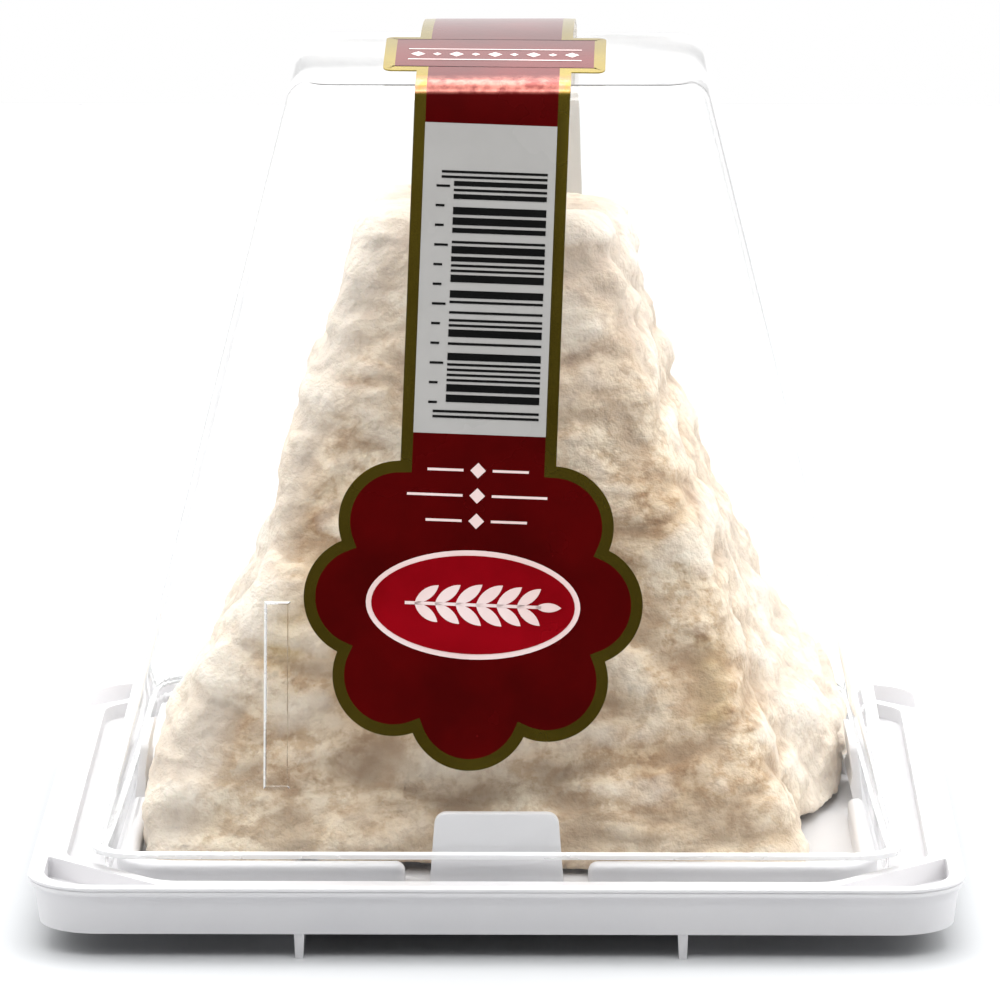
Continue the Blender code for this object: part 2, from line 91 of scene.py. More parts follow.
RAIL_TOP_WIDTH = 1.3
RAIL_BOTTOM_WIDTH = 0.8
RIDGE_LINE = 38.3
RIDGE_CORNER = 5.0
RIDGE_WIDTH = 2.2
RIDGE_TOP = 8.1
RIDGE_GAP = 18.8
TAB_FACE = 39.4
TAB_LEAN = 0.05
TAB_THICKNESS = 1.2
TAB_BASE_WIDTH = 13.8
TAB_TOP_WIDTH = 12.6
TAB_TOP = 13.3
TAB_ROUND = 1.1

# Clear hood
HOOD_WALL = 0.3
HOOD_BASE_HALF = 40.9
HOOD_BASE = 9.75
HOOD_TOP = 86.0
HOOD_TOP_HALF = 21.5
HOOD_EDGE_ROUND = 2.3
HOOD_CORNER = 4.2
HOOD_LIP_HALF = 41.65
HOOD_LIP_DEPTH = 0.5
LIP_FLARE = 0.12
LIP_TUCK = 0.06
HOOD_BAND_HALF = 40.4
HOOD_BOTTOM = 6.35
LUG_LEFT = -23.9
LUG_RIGHT = -21.2
LUG_LOW = 16.0
LUG_HIGH = 34.6
LUG_DEPTH = 0.2

# Strap label, laid flat: x across, y along with 0 at the front fold
PAPER = 0.14
PRINT = 0.035
LABEL_LEAN = math.radians(2.05)
LABEL_SHIFT = -0.58
TOP_TWIST = math.radians(1.2)
STRAP_WIDTH = 16.0
ROSETTE_RADIUS = 17.4
ROSETTE_LOBE = 6.25
ROSETTE_LOBES = 8
ROSETTE_DROP = 52.0
BORDER = 1.2
WING_WIDTH = 23.0
WING_START = 4.4
WING_LENGTH = 11.6
WING_CORNER = 0.9
BACK_LENGTH = 38.0
FOLD_HEIGHT = 85.1
FOLD_CLEARANCE = 0.35
FOLD_RADIUS = 1.9
FOLD_CREASES = 8
# Painted highlight along the label's folds: its pale colour and the heights it spans.
FOLD_HIGHLIGHT_INK = (0.62, 0.22, 0.17)
FOLD_HIGHLIGHT_LOW = 85.3
FOLD_HIGHLIGHT_HIGH = 87.0
BOW_ANGLE = math.radians(15.6)
BOW_CREASES = 26
PANEL_TOP = -2.9
PANEL_BOTTOM = -34.9
BARS_TOP = -7.8
BARS_LENGTH = 25.5
BARS_LEFT = -3.6
BARS_RIGHT = 6.0
BAR_MODULES = 95
GUARD_REACH = 1.3
TICKS = 12
TICK_INSET = 1.6
TICK_LEFT = -5.4
LINE_HALF = 0.12
BADGE_HALF_WIDTH = 11.0
BADGE_HALF_HEIGHT = 5.6
BADGE_RIM = 0.55
BADGE_DROP = 0.4
STEM_REACH = 7.0
STEM_HALF = 0.16
FLOURISHES = ((-38.6, 5.2), (-41.2, 7.2), (-43.8, 5.2))
FLOURISH_HALF = 0.13
FLOURISH_DIAMOND = 0.8
FLOURISH_GAP = 0.7
LEAF_LENGTH = 3.5
LEAF_WIDTH = 1.25
LEAF_ANGLE = math.radians(38)
LEAF_PAIRS = 6
LEAF_SPACING = 2.1
SPRIG_FOOT = -6.0
SPRIG_TIP = 6.4
WING_RULES_APART = 3.4
WING_RULE_REACH = 9.0
WING_DIAMONDS = 9
WING_SPACING = 2.0

# Rind
RIND_VOXEL = 0.6
RIND_TAPER = 0.337
CHEESE_TOP_SHARE = 0.34
PALER_TOP_ZONE = (44.0, 68.0)
FOOT_ZONE = (15.0, 8.0)
# Reach across the rind over which painted rim light pales its sides.
RIM_LIGHT_ZONE = (33.0, 36.5)
SMUDGE_ZONE = (1.55, 0.7)
OCHRE = (0.60, 0.46, 0.20)
BROWN = (0.44, 0.30, 0.18)
GREYISH = (0.60, 0.54, 0.45)
RIND_SMUDGES = (
    ((21.9, -28.0, 23.7), (2.6, 8.0, 6.0), 0.55, OCHRE),
    ((-22.3, -25.8, 29.5), (2.8, 8.0, 4.5), 0.5, OCHRE),
    ((16.1, -25.8, 30.2), (1.5, 6.0, 1.6), 0.5, BROWN),
    ((19.8, -29.7, 18.8), (6.0, 6.0, 0.7), 0.65, BROWN),
    ((12.5, -31.4, 13.8), (8.0, 6.0, 0.8), 0.6, BROWN),
    ((29.0, -33.0, 9.4), (3.0, 6.0, 2.4), 0.4, BROWN),
    ((-24.0, -29.0, 20.0), (6.0, 7.0, 1.8), 0.35, BROWN),
    ((-8.0, -31.0, 16.5), (12.0, 8.0, 3.0), 0.4, GREYISH),
    ((14.0, -28.0, 22.0), (7.0, 8.0, 4.0), 0.35, GREYISH),
)


def mm(*values):
    return Vector(values) * MM


# Modelling helpers


def deselect_all():
    if bpy.context.object and bpy.context.object.mode != "OBJECT":
        bpy.ops.object.mode_set(mode="OBJECT")
    bpy.ops.object.select_all(action="DESELECT")


def pick(thing):
    deselect_all()
    thing.select_set(True)
    bpy.context.view_layer.objects.active = thing


def name_piece(name):
    piece = bpy.context.object
    piece.name = name
    piece.data.name = name
    return piece


def add_block(name, low, high):
    """A cube primitive between two corners given in millimetres, its size already in its mesh."""
    deselect_all()
    low, high = mm(*low), mm(*high)
    bpy.ops.mesh.primitive_cube_add(size=1.0, location=(low + high) / 2)
    piece = name_piece(name)
    piece.scale = high - low
    settle(piece)
    return piece


def add_disc(name, centre, radius, low, high, corners=64):
    """A round upright plate, or with four corners a diamond, centred at (x, y) in millimetres."""
    deselect_all()
    place = mm(centre[0], centre[1], (low + high) / 2)
    depth = (high - low) * MM
    bpy.ops.mesh.primitive_cylinder_add(vertices=corners, radius=radius * MM, depth=depth, location=place)
    piece = name_piece(name)
    settle(piece)
    return piece


def settle(piece):
    """Puts the piece's place, turn and scale into its mesh."""
    pick(piece)
    bpy.ops.object.transform_apply(location=True, rotation=True, scale=True)


def edit(piece, mode):
    """Opens the piece for editing vertices, edges or faces with nothing selected."""
    pick(piece)
    bpy.ops.object.mode_set(mode="EDIT")
    bpy.ops.mesh.select_mode(type=mode)
    bpy.ops.mesh.select_all(action="DESELECT")


def choose(piece, kind, test):
    """Selects the elements of one kind whose bmesh element passes a test, in edit mode."""
    bm = bmesh.from_edit_mesh(piece.data)
    for element in getattr(bm, kind):
        element.select_set(bool(test(element)))
    bm.select_flush_mode()
    bmesh.update_edit_mesh(piece.data)


def done():
    bpy.ops.object.mode_set(mode="OBJECT")


def middle(edge):
    return (edge.verts[0].co + edge.verts[1].co) / 2


def upright(edge):
    """True for an edge that climbs rather than lies level."""
    run = edge.verts[1].co - edge.verts[0].co
    return abs(run.z) > 0.5 * run.length


def apply_modifier(piece, kind, **values):
    pick(piece)
    modifier = piece.modifiers.new(kind.title(), kind)
    for key, value in values.items():
        setattr(modifier, key, value)
    bpy.ops.object.modifier_apply(modifier=modifier.name)


def unite(piece, others, operation="UNION"):
    """Joins or cuts with an exact Boolean, one piece at a time, and removes the pieces used."""
    for other in others:
        apply_modifier(piece, "BOOLEAN", operation=operation, object=other, solver="EXACT")
        bpy.data.objects.remove(other)


def round_edges(piece, width):
    """Rounds every edge that turns by more than 35 degrees."""
    apply_modifier(
        piece,
        "BEVEL",
        width=width * MM,
        segments=2,
        limit_method="ANGLE",
        angle_limit=math.radians(35.0),
        use_clamp_overlap=True,
        miter_outer="MITER_ARC",
    )


def smooth(piece, angle=32.0):
    pick(piece)
    bpy.ops.object.shade_smooth_by_angle(angle=math.radians(angle))


def copy_turned(piece, name, angle):
    """A copy with its own mesh, turned about the upright middle axis."""
    twin = piece.copy()
    twin.data = piece.data.copy()
    twin.name = name
    bpy.context.scene.collection.objects.link(twin)
    twin.data.transform(Matrix.Rotation(angle, 4, "Z"))
    return twin


def bevel_upright_edges(piece, radius, segments, test=lambda place: True):
    """Rounds the upright edges whose middle passes a test."""
    edit(piece, "EDGE")
    choose(piece, "edges", lambda e: upright(e) and test(middle(e)))
    bpy.ops.mesh.bevel(offset=radius * MM, segments=segments, affect="EDGES")
    done()


# Materials


def new_material(name):
    material = bpy.data.materials.new(name)
    material.use_nodes = True
    nodes = material.node_tree.nodes
    links = material.node_tree.links
    return material, nodes, links, nodes["Principled BSDF"]


def set_inputs(node, **values):
    for key, value in values.items():
        node.inputs[key.replace("_", " ")].default_value = value
    return node


def object_place(nodes, links, stretch=(1.0, 1.0, 1.0)):
    """Object coordinates in millimetres, with an optional stretch of the pattern."""
    coordinates = nodes.new("ShaderNodeTexCoord")
    mapping = nodes.new("ShaderNodeMapping")
    mapping.inputs["Scale"].default_value = [1000.0 / part for part in stretch]
    links.new(coordinates.outputs["Object"], mapping.inputs["Vector"])
    return mapping.outputs["Vector"]


def feed(links, socket, value):
    """Links an input to another socket, or sets it to a plain colour or number."""
    if isinstance(value, bpy.types.NodeSocket):
        links.new(value, socket)
    elif isinstance(value, tuple):
        socket.default_value = (*value, 1.0)
    else:
        socket.default_value = value


def math_node(nodes, links, operation, *values, clamp=False):
    """Arithmetic on sockets or numbers, given in the order the operation takes them."""
    node = nodes.new("ShaderNodeMath")
    node.operation = operation
    node.use_clamp = clamp
    for socket, value in zip(node.inputs, values):
        feed(links, socket, value)
    return node.outputs["Value"]


def split_place(nodes, links, place):
    """The X, Y and Z of a place as separate outputs."""
    node = nodes.new("ShaderNodeSeparateXYZ")
    links.new(place, node.inputs["Vector"])
    return node.outputs


def noise_node(nodes, links, place, size, detail=4.0, roughness=0.55, distortion=0.0):
    """Noise whose features are about size millimetres across, from a number or a socket."""
    node = nodes.new("ShaderNodeTexNoise")
    set_inputs(node, Detail=detail, Roughness=roughness, Distortion=distortion)
    scale = 1.0 / size if isinstance(size, float) else math_node(nodes, links, "DIVIDE", 1.0, size)
    feed(links, node.inputs["Scale"], scale)
    links.new(place, node.inputs["Vector"])
    return node.outputs["Fac"]


def ramp_node(nodes, links, value, stops):
    """A colour ramp from (position, colour) stops."""
    node = nodes.new("ShaderNodeValToRGB")
    ramp = node.color_ramp
    while len(ramp.elements) < len(stops):
        ramp.elements.new(0.5)
    for element, (position, colour) in zip(ramp.elements, stops):
        element.position = position
        element.color = (*colour, 1.0)
    links.new(value, node.inputs["Fac"])
    return node.outputs["Color"]


def map_range(nodes, links, value, low, high, new_low, new_high):
    node = nodes.new("ShaderNodeMapRange")
    set_inputs(node, **{"From_Min": low, "From_Max": high, "To_Min": new_low, "To_Max": new_high})
    links.new(value, node.inputs["Value"])
    return node.outputs["Result"]


def mix_colour(nodes, links, factor, first, second, blend="MIX"):
    """Mixes two colours, each a socket or a plain colour, by a socket or a number."""
    node = nodes.new("ShaderNodeMix")
    node.data_type = "RGBA"
    node.blend_type = blend
    for socket, value in ((node.inputs[0], factor), (node.inputs[6], first), (node.inputs[7], second)):
        feed(links, socket, value)
    return node.outputs[2]


def bump_node(nodes, links, height, strength, distance):
    """A bumpy normal, its distance in millimetres."""
    node = nodes.new("ShaderNodeBump")
    set_inputs(node, Strength=strength, Distance=distance * MM)
    links.new(height, node.inputs["Height"])
    return node.outputs["Normal"]


def group_with(name, inputs, outputs):
    """A new node group with float inputs and the outputs named, and its input and output nodes."""
    group = bpy.data.node_groups.new(name, "ShaderNodeTree")
    for socket, value in inputs:
        made = group.interface.new_socket(name=socket, in_out="INPUT", socket_type="NodeSocketFloat")
        made.default_value = value
    for socket, kind in outputs:
        group.interface.new_socket(name=socket, in_out="OUTPUT", socket_type=kind)
    entry = group.nodes.new("NodeGroupInput")
    leave = group.nodes.new("NodeGroupOutput")
    return group, entry, leave


def place_group(nodes, group, **values):
    """A group placed in a material with that material's own values."""
    node = nodes.new("ShaderNodeGroup")
    node.node_tree = group
    return set_inputs(node, **values)


def make_fine_surface():
    """Group: roughness that varies a little and a fine bumpy normal, for moulded and printed surfaces."""
    group, entry, leave = group_with(
        "fine_surface",
        [("Grain Size", 0.5), ("Bump", 0.02), ("Roughness", 0.3), ("Spread", 0.1), ("Smear Size", 12.0)],
        [("Roughness", "NodeSocketFloat"), ("Normal", "NodeSocketVector")],
    )
    nodes, links = group.nodes, group.links
    place = object_place(nodes, links)
    given = entry.outputs
    grain = noise_node(nodes, links, place, given["Grain Size"], detail=3.0, roughness=0.6)
    smear = noise_node(nodes, links, place, given["Smear Size"])
    centred = math_node(nodes, links, "SUBTRACT", smear, 0.5)
    rough = math_node(nodes, links, "MULTIPLY_ADD", centred, given["Spread"], given["Roughness"])
    links.new(rough, leave.inputs["Roughness"])
    height = math_node(nodes, links, "MULTIPLY", grain, given["Bump"])
    links.new(bump_node(nodes, links, height, 1.0, 1.0), leave.inputs["Normal"])
    return group


def use_fine_surface(nodes, links, shader, group, **values):
    node = place_group(nodes, group, **values)
    links.new(node.outputs["Roughness"], shader.inputs["Roughness"])
    links.new(node.outputs["Normal"], shader.inputs["Normal"])


def make_fold_wear():
    """Group: a broken mask along the lines where the label folds over the hood's edges, where a highlight
    is painted.
    """
    group, entry, leave = group_with(
        "fold_wear",
        [("Low", 80.0), ("High", 90.0), ("Fade", 0.5), ("Speckle Size", 1.0)],
        [("Mask", "NodeSocketFloat")],
    )
    nodes, links = group.nodes, group.links
    place = object_place(nodes, links)
    given = entry.outputs
    height = split_place(nodes, links, place)["Z"]
    above_low = math_node(nodes, links, "SUBTRACT", height, given["Low"])
    under_high = math_node(nodes, links, "SUBTRACT", given["High"], height)
    speckle = noise_node(nodes, links, place, given["Speckle Size"])
    mask = map_range(nodes, links, speckle, 0.38, 0.62, 0.2, 0.8)
    for away in (above_low, under_high):
        share = math_node(nodes, links, "DIVIDE", away, given["Fade"], clamp=True)
        mask = math_node(nodes, links, "MULTIPLY", mask, share)
    links.new(mask, leave.inputs["Mask"])
    return group


def make_tray_plastic(fine_surface):
    """White polystyrene: cool white, satin, with faint clouding and scuffs."""
    material, nodes, links, shader = new_material("tray_plastic")
    set_inputs(shader, Specular_IOR_Level=0.5, Subsurface_Weight=0.12, Subsurface_Scale=0.002)
    shader.inputs["Subsurface Radius"].default_value = (1.0, 1.0, 1.0)
    place = object_place(nodes, links)
    cloud = noise_node(nodes, links, place, 18.0, detail=3.0)
    colour = ramp_node(nodes, links, cloud, [(0.3, (0.66, 0.655, 0.67)), (0.7, (0.71, 0.70, 0.71))])
    links.new(colour, shader.inputs["Base Color"])
    values = {"Grain_Size": 0.8, "Bump": 0.012, "Roughness": 0.34, "Spread": 0.25}
    use_fine_surface(nodes, links, shader, fine_surface, **values)
    return material


def make_clear_plastic():
    """Thin clear formed sheet: glass-like, and lamps' light passes straight through it."""
    material, nodes, links, shader = new_material("clear_plastic")
    shader.inputs["Base Color"].default_value = (1.0, 1.0, 1.0, 1.0)
    set_inputs(shader, Transmission_Weight=1.0, IOR=1.45, Roughness=0.02)
    place = object_place(nodes, links, stretch=(1.0, 1.0, 2.2))
    sway = noise_node(nodes, links, place, 14.0, detail=0.0)
    links.new(bump_node(nodes, links, sway, 0.25, 0.3), shader.inputs["Normal"])
    through = nodes.new("ShaderNodeBsdfTransparent")
    through.inputs["Color"].default_value = (0.975, 0.98, 0.98, 1.0)
    path = nodes.new("ShaderNodeLightPath")
    seen = shader.outputs["BSDF"]
    for ray in ("Is Diffuse Ray", "Is Shadow Ray"):
        mix = nodes.new("ShaderNodeMixShader")
        links.new(path.outputs[ray], mix.inputs["Fac"])
        links.new(seen, mix.inputs[1])
        links.new(through.outputs["BSDF"], mix.inputs[2])
        seen = mix.outputs["Shader"]
    links.new(seen, nodes["Material Output"].inputs["Surface"])
    return material


def make_hood_highlight():
    """The hood's turned lip and the lug's lit slopes: the same clear sheet made whiter and hazier, as a
    painted highlight.
    """
    material, nodes, links, shader = new_material("hood_lip_highlight")
    shader.inputs["Base Color"].default_value = (0.93, 0.935, 0.94, 1.0)
    set_inputs(shader, Transmission_Weight=0.35, IOR=1.45)
    place = object_place(nodes, links, stretch=(4.0, 4.0, 1.0))
    haze = noise_node(nodes, links, place, 1.6, detail=3.0)
    rough = map_range(nodes, links, haze, 0.3, 0.7, 0.18, 0.4)
    links.new(rough, shader.inputs["Roughness"])
    return material


def smudge_mask(nodes, links, place, sway, centre, reach, strength):
    """A soft uneven patch round a spot on the rind, given in millimetres with its reach each way."""
    away = nodes.new("ShaderNodeVectorMath")
    away.operation = "SUBTRACT"
    away.inputs[1].default_value = centre
    links.new(place, away.inputs[0])
    share = nodes.new("ShaderNodeVectorMath")
    share.operation = "DIVIDE"
    share.inputs[1].default_value = reach
    links.new(away.outputs["Vector"], share.inputs[0])
    length = nodes.new("ShaderNodeVectorMath")
    length.operation = "LENGTH"
    links.new(share.outputs["Vector"], length.inputs[0])
    ragged = math_node(nodes, links, "ADD", length.outputs["Value"], sway)
    return map_range(nodes, links, ragged, *SMUDGE_ZONE, 0.0, strength)


def make_rind():
    """Cheese rind: pale skin over tan, greyer in places, with ochre smudges; painted shade darkens the
    creases, a painted highlight lightens the crests, it grows paler towards the top, and painted rim light
    pales the sides.
    """
    material, nodes, links, shader = new_material("rind")
    set_inputs(shader, Subsurface_Weight=0.12, Subsurface_Scale=0.001, Specular_IOR_Level=0.2)
    shader.inputs["Subsurface Radius"].default_value = (1.0, 0.6, 0.35)
    place = object_place(nodes, links)
    drawn = object_place(nodes, links, stretch=(2.2, 2.2, 1.0))
    patches = noise_node(nodes, links, drawn, 9.0)
    streaks = noise_node(nodes, links, drawn, 3.0, detail=5.0, roughness=0.6, distortion=0.5)
    flecks = noise_node(nodes, links, place, 1.6, roughness=0.65)
    colour = ramp_node(nodes, links, patches, [
        (0.34, (0.64, 0.49, 0.33)),
        (0.45, (0.73, 0.585, 0.425)),
        (0.54, (0.78, 0.655, 0.50)),
        (0.66, (0.83, 0.73, 0.585)),
    ])
    streak_tint = ramp_node(nodes, links, streaks, [
        (0.36, (0.56, 0.44, 0.33)),
        (0.49, (0.93, 0.89, 0.84)),
        (0.62, (1.0, 1.0, 1.0)),
    ])
    colour = mix_colour(nodes, links, 0.85, colour, streak_tint, "MULTIPLY")
    fleck_tint = ramp_node(nodes, links, flecks, [(0.40, (0.68, 0.57, 0.46)), (0.54, (1.0, 1.0, 1.0))])
    colour = mix_colour(nodes, links, 0.8, colour, fleck_tint, "MULTIPLY")
    specks = noise_node(nodes, links, place, 2.0, detail=2.0)
    speck_mask = map_range(nodes, links, specks, 0.66, 0.76, 0.0, 0.5)
    colour = mix_colour(nodes, links, speck_mask, colour, (0.36, 0.29, 0.22))
    sway = noise_node(nodes, links, drawn, 2.6)
    for centre, reach, strength, tint in RIND_SMUDGES:
        mask = smudge_mask(nodes, links, place, sway, centre, reach, strength)
        colour = mix_colour(nodes, links, mask, colour, tint)
    relief = nodes.new("ShaderNodeAttribute")
    relief.attribute_name = "relief"
    raised = relief.outputs["Fac"]
    # Painted shade: sunken creases turn brown. Painted highlight: raised crests turn paler.
    hollow = map_range(nodes, links, raised, -0.08, -0.6, 0.0, 0.7)
    colour = mix_colour(nodes, links, hollow, colour, (0.40, 0.27, 0.165))
    crest_highlight = map_range(nodes, links, raised, 0.05, 0.45, 0.0, 0.55)
    colour = mix_colour(nodes, links, crest_highlight, colour, (0.82, 0.74, 0.635))
    where = split_place(nodes, links, place)
    # Paler towards the top.
    paler_top = map_range(nodes, links, where["Z"], *PALER_TOP_ZONE, 0.0, 0.4)
    colour = mix_colour(nodes, links, paler_top, colour, (0.86, 0.79, 0.72))
    foot = map_range(nodes, links, where["Z"], *FOOT_ZONE, 0.0, 0.4)
    colour = mix_colour(nodes, links, foot, colour, (0.76, 0.645, 0.49))
    # Painted rim light: the left and right faces, and the front's edges next to them, made paler as
    # grazing side light would make them.
    across = math_node(nodes, links, "ABSOLUTE", where["X"])
    reach = math_node(nodes, links, "MULTIPLY_ADD", where["Z"], RIND_TAPER, across)
    flank_rim_light = map_range(nodes, links, reach, *RIM_LIGHT_ZONE, 0.0, 0.5)
    colour = mix_colour(nodes, links, flank_rim_light, colour, (0.87, 0.81, 0.73))
    links.new(colour, shader.inputs["Base Color"])
    pores = nodes.new("ShaderNodeTexVoronoi")
    set_inputs(pores, Scale=1.0 / 1.4, Randomness=1.0)
    links.new(place, pores.inputs["Vector"])
    fine = noise_node(nodes, links, place, 1.5, detail=3.0, roughness=0.7)
    height = math_node(nodes, links, "MULTIPLY_ADD", pores.outputs["Distance"], 0.4, fine)
    links.new(bump_node(nodes, links, height, 0.9, 0.5), shader.inputs["Normal"])
    rough = map_range(nodes, links, streaks, 0.3, 0.7, 0.78, 0.94)
    links.new(rough, shader.inputs["Roughness"])
    return material


def make_print(name, groups, dark, light, shine):
    """One printed colour under varnish, a little uneven; shine is its share of foil under clear ink, and
    inks with foil get a painted highlight along the folds.
    """
    fine_surface, fold_wear = groups
    material, nodes, links, shader = new_material(name)
    set_inputs(shader, Metallic=shine, Coat_Weight=0.35, Coat_Roughness=0.08, Specular_IOR_Level=0.25)
    ink = noise_node(nodes, links, object_place(nodes, links), 9.0)
    colour = ramp_node(nodes, links, ink, [(0.35, dark), (0.65, light)])
    if shine:
        # Painted highlight: a pale pink speckled band where the label bends over the hood's edges.
        limits = {"Low": FOLD_HIGHLIGHT_LOW, "High": FOLD_HIGHLIGHT_HIGH, "Fade": 0.4, "Speckle_Size": 1.1}
        wear = place_group(nodes, fold_wear, **limits)
        colour = mix_colour(nodes, links, wear.outputs["Mask"], colour, FOLD_HIGHLIGHT_INK)
    links.new(colour, shader.inputs["Base Color"])
    values = {"Grain_Size": 0.5, "Bump": 0.0, "Roughness": 0.27, "Spread": 0.03}
    use_fine_surface(nodes, links, shader, fine_surface, **values)
    return material


def make_label_materials(groups):
    tones = {
        "red_field": ((0.10, 0.0006, 0.0010), (0.15, 0.0010, 0.0016), 0.5),
        "gold_border": ((0.27, 0.195, 0.020), (0.33, 0.245, 0.030), 0.95),
        "pale_panel": ((0.43, 0.42, 0.405), (0.47, 0.46, 0.445), 0.0),
        "black_ink": ((0.004, 0.004, 0.004), (0.007, 0.007, 0.007), 0.0),
        "bright_red": ((0.34, 0.001, 0.006), (0.46, 0.002, 0.010), 0.45),
        "light_line": ((0.82, 0.62, 0.59), (0.88, 0.72, 0.70), 0.0),
        "paper_back": ((0.88, 0.87, 0.85), (0.93, 0.92, 0.90), 0.0),
    }
    return {name: make_print(name, groups, *values) for name, values in tones.items()}


# Tray


def make_recess_cutter():
    """A block with straight corners, their ends rounded, that cuts the tray's recess."""
    half = RECESS_HALF
    cutter = add_block("recess_cutter", (-half, -half, FLOOR_TOP), (half, half, CUTTER_TOP))
    bevel_upright_edges(cutter, 2 * half - RECESS_CHORD, 1)
    bevel_upright_edges(cutter, RECESS_ROUND, 5)
    return cutter


def make_pocket_cutter():
    """The corner of a rounded block beyond a straight cut: the crescent pocket at +X +Y."""
    cutter = add_block("pocket_cutter", (0.0, 0.0, POCKET_FLOOR), (POCKET_HALF, POCKET_HALF, CUTTER_TOP))
    bevel_upright_edges(cutter, POCKET_CORNER, 10, lambda place: place.x > MM and place.y > MM)
    edit(cutter, "FACE")
    bpy.ops.mesh.select_all(action="SELECT")
    cut = mm(POCKET_CHORD / 2, POCKET_CHORD / 2, 0)
    bpy.ops.mesh.bisect(plane_co=cut, plane_no=(1, 1, 0), use_fill=True, clear_inner=True, threshold=1e-6)
    done()
    limit = (POCKET_CHORD + 0.1) * MM
    bevel_upright_edges(cutter, POCKET_BLUNT, 4, lambda place: place.x + place.y < limit)
    return cutter


def make_ridge():
    """A low domed ridge round the corner at +X +Y: a profile drawn along, spun and drawn along again."""
    half = RIDGE_WIDTH / 2
    start = RIDGE_GAP / 2
    turn = RIDGE_LINE - RIDGE_CORNER
    deselect_all()
    bpy.ops.mesh.primitive_plane_add(size=1.0, rotation=(math.pi / 2, 0.0, 0.0))
    ridge = name_piece("ridge")
    low = FLOOR_TOP - HIDDEN_OVERLAP
    ridge.scale = mm(RIDGE_WIDTH, RIDGE_TOP - low, 1.0)
    ridge.location = mm(RIDGE_LINE, start, (RIDGE_TOP + low) / 2)
    settle(ridge)
    edit(ridge, "FACE")
    bpy.ops.mesh.select_all(action="SELECT")
    run = (turn - start) * MM
    bpy.ops.mesh.extrude_region_move(TRANSFORM_OT_translate={"value": (0.0, run, 0.0)})
    bpy.ops.mesh.spin(steps=10, angle=-math.pi / 2, center=mm(turn, turn, 0), axis=(0, 0, 1))
    bpy.ops.mesh.extrude_region_move(TRANSFORM_OT_translate={"value": (-run, 0.0, 0.0)})
    bpy.ops.mesh.select_all(action="SELECT")
    bpy.ops.mesh.remove_doubles(threshold=1e-6)
    bpy.ops.mesh.normals_make_consistent(inside=False)
    done()
    ends = (start + 0.1) * MM
    bevel_upright_edges(ridge, half * 0.96, 5, lambda place: place.x < ends or place.y < ends)
    edit(ridge, "EDGE")
    top = (RIDGE_TOP - 0.01) * MM

    def beside_top(edge):
        return middle(edge).z > top and len({round(f.normal.z) for f in edge.link_faces}) > 1

    choose(ridge, "edges", beside_top)
    bpy.ops.mesh.bevel(offset=half * 0.8 * MM, segments=5, affect="EDGES")
    done()
    return ridge


def make_tab():
    """An upright centring tab in the middle of the -Y side, narrower and rounded at its top."""
    low = FLOOR_TOP - HIDDEN_OVERLAP
    half = TAB_BASE_WIDTH / 2
    tab = add_block("tab", (-half, -TAB_FACE, low), (half, -TAB_FACE + TAB_THICKNESS, TAB_TOP))
    edit(tab, "VERT")
    choose(tab, "verts", lambda v: v.co.z > (TAB_TOP - 0.1) * MM)
    bpy.ops.transform.resize(value=(TAB_TOP_WIDTH / TAB_BASE_WIDTH, 1.0, 1.0))
    bpy.ops.transform.translate(value=mm(0.0, (TAB_TOP - FLOOR_TOP) * TAB_LEAN, 0.0))
    bpy.ops.mesh.select_mode(type="EDGE")
    choose(tab, "edges", lambda e: middle(e).z > (TAB_TOP - 0.1) * MM and abs(middle(e).x) > MM)
    bpy.ops.mesh.bevel(offset=TAB_ROUND * MM, segments=6, affect="EDGES")
    done()
    return tab


def make_rail(side):
    """A stacking rail under the tray, front to back, thinner towards its foot."""
    reach = TRAY_HALF - SKIRT_INSET - SKIRT_DRAFT - RAIL_SETBACK
    x = RAIL_SHIFT + side * RAIL_SPACING / 2
    half = RAIL_TOP_WIDTH / 2
    rail = add_block("rail", (x - half, -reach, 0.0), (x + half, reach, PLATE_UNDERSIDE + HIDDEN_OVERLAP))
    edit(rail, "VERT")
    choose(rail, "verts", lambda v: v.co.z < 0.1 * MM)
    bpy.ops.transform.resize(value=(RAIL_BOTTOM_WIDTH / RAIL_TOP_WIDTH, 1.0, 1.0))
    done()
    return rail


def draw_down(piece, half, drop):
    """Extrudes the selected underside and draws it in or out to a half width."""
    bpy.ops.mesh.extrude_region_move(TRANSFORM_OT_translate={"value": (0.0, 0.0, -drop * MM)})
    bm = bmesh.from_edit_mesh(piece.data)
    now = max(v.co.x for v in bm.verts if v.select)
    share = half * MM / now
    bpy.ops.transform.resize(value=(share, share, 1.0))


def make_tray_blank():
    """Rim plate, a fine groove under it, the skirt drawn down, and the hollow pushed up inside it."""
    low = TRAY_TOP - RIM_PLATE
    blank = add_block("tray_detail", (-TRAY_HALF, -TRAY_HALF, low), (TRAY_HALF, TRAY_HALF, TRAY_TOP))
    bevel_upright_edges(blank, TRAY_CORNER, 14)
    edit(blank, "FACE")
    choose(blank, "faces", lambda f: f.normal.z < -0.9)
    bpy.ops.mesh.inset(thickness=RIM_GROOVE * MM)
    draw_down(blank, TRAY_HALF - RIM_GROOVE, RIM_GROOVE_HEIGHT)
    draw_down(blank, TRAY_HALF - LOWER_RIM_TOP_INSET, LOWER_RIM_STEP)
    lower_rim = RIM_THICKNESS - RIM_PLATE - RIM_GROOVE_HEIGHT - LOWER_RIM_STEP
    draw_down(blank, TRAY_HALF - LOWER_RIM_INSET, lower_rim)
    bpy.ops.mesh.inset(thickness=(SKIRT_INSET - LOWER_RIM_INSET) * MM)
    draw_down(blank, TRAY_HALF - SKIRT_INSET - SKIRT_DRAFT, TRAY_TOP - RIM_THICKNESS - SKIRT_BOTTOM)
    bpy.ops.mesh.inset(thickness=SKIRT_WALL * MM)
    hollow_half = TRAY_HALF - SKIRT_INSET - HOLLOW_DRAFT - SKIRT_WALL
    draw_down(blank, hollow_half, SKIRT_BOTTOM - PLATE_UNDERSIDE)
    done()
    return blank


